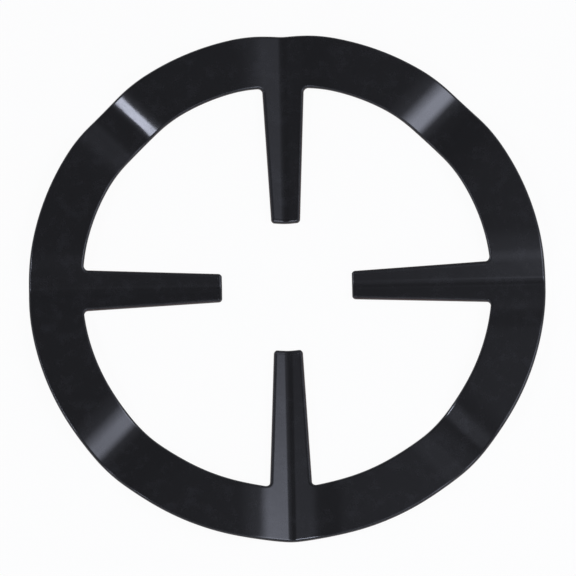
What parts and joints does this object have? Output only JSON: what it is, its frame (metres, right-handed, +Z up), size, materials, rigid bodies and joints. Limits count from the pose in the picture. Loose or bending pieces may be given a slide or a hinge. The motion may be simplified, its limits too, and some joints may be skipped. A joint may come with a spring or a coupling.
{
  "type": "burner grate",
  "caption": "Pressed enamelled ring with tapered fingers pointing inward and radial grooves, laid over a hob burner so that a small pan or pot stands level.",
  "frame": {"origin": "under the centre of the ring, at the level of the lowest points, which are the undersides of the groove floors", "axes": "+Z up, out of the face that carries the pan; +X and +Y along two neighbouring fingers, so the four fingers lie on +X, +Y, -X and -Y"},
  "size_m": [0.14, 0.14, 0.0049],
  "materials": {
    "enamel": "gloss black vitreous enamel on pressed sheet steel"
  },
  "bodies": {
    "root": {"burner_grate": "enamel"}
  },
  "joints": []
}
